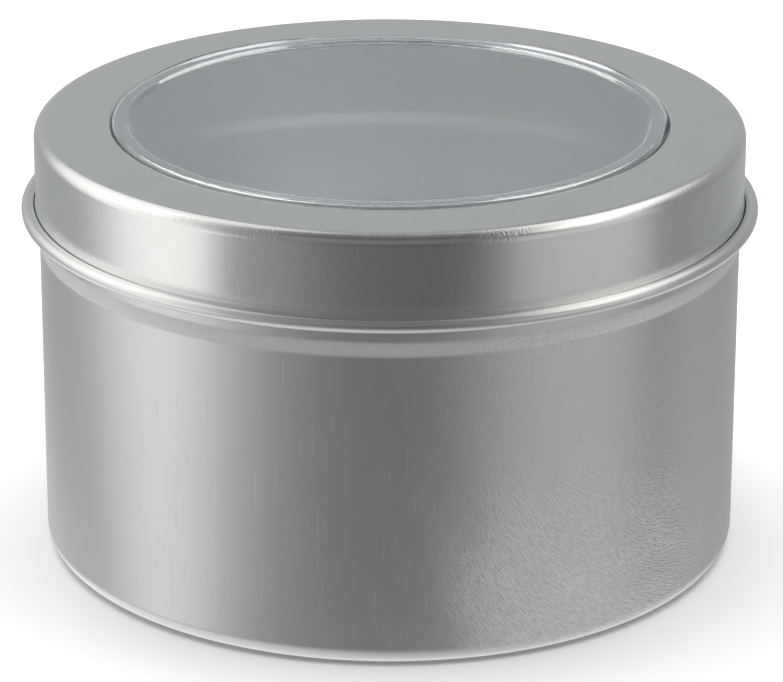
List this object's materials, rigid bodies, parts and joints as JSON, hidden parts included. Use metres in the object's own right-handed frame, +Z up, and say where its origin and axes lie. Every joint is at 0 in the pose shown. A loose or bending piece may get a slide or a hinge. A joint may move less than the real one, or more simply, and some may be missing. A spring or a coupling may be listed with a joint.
{
  "type": "window lid tin",
  "caption": "Round seamless tinplate tin whose slip lid has a rolled bottom bead and a clear raised-edge window, and lifts straight off the necked body.",
  "frame": {"origin": "centre of the base, on the surface that the tin stands on", "axes": "+Z up along the tin's axis, through the window; the tin is turned about Z, so X and Y are alike"},
  "size_m": [0.089, 0.089, 0.0532],
  "materials": {
    "body_tinplate": "satin tinplate with fine rolling grain",
    "lid_tinplate": "bright satin tinplate with faint rolling grain",
    "window_plastic": "clear glossy formed sheet"
  },
  "bodies": {
    "tin": {"tin_body": "body_tinplate"},
    "lid": {"lid_shell": "lid_tinplate", "window_pane": "window_plastic", "window_retaining_ring": "lid_tinplate"}
  },
  "joints": [
    {"name": "lid_lift", "type": "slide", "parent": "tin", "child": "lid", "axis": [0, 0, 1], "range_m": [0, 0.05]}
  ]
}
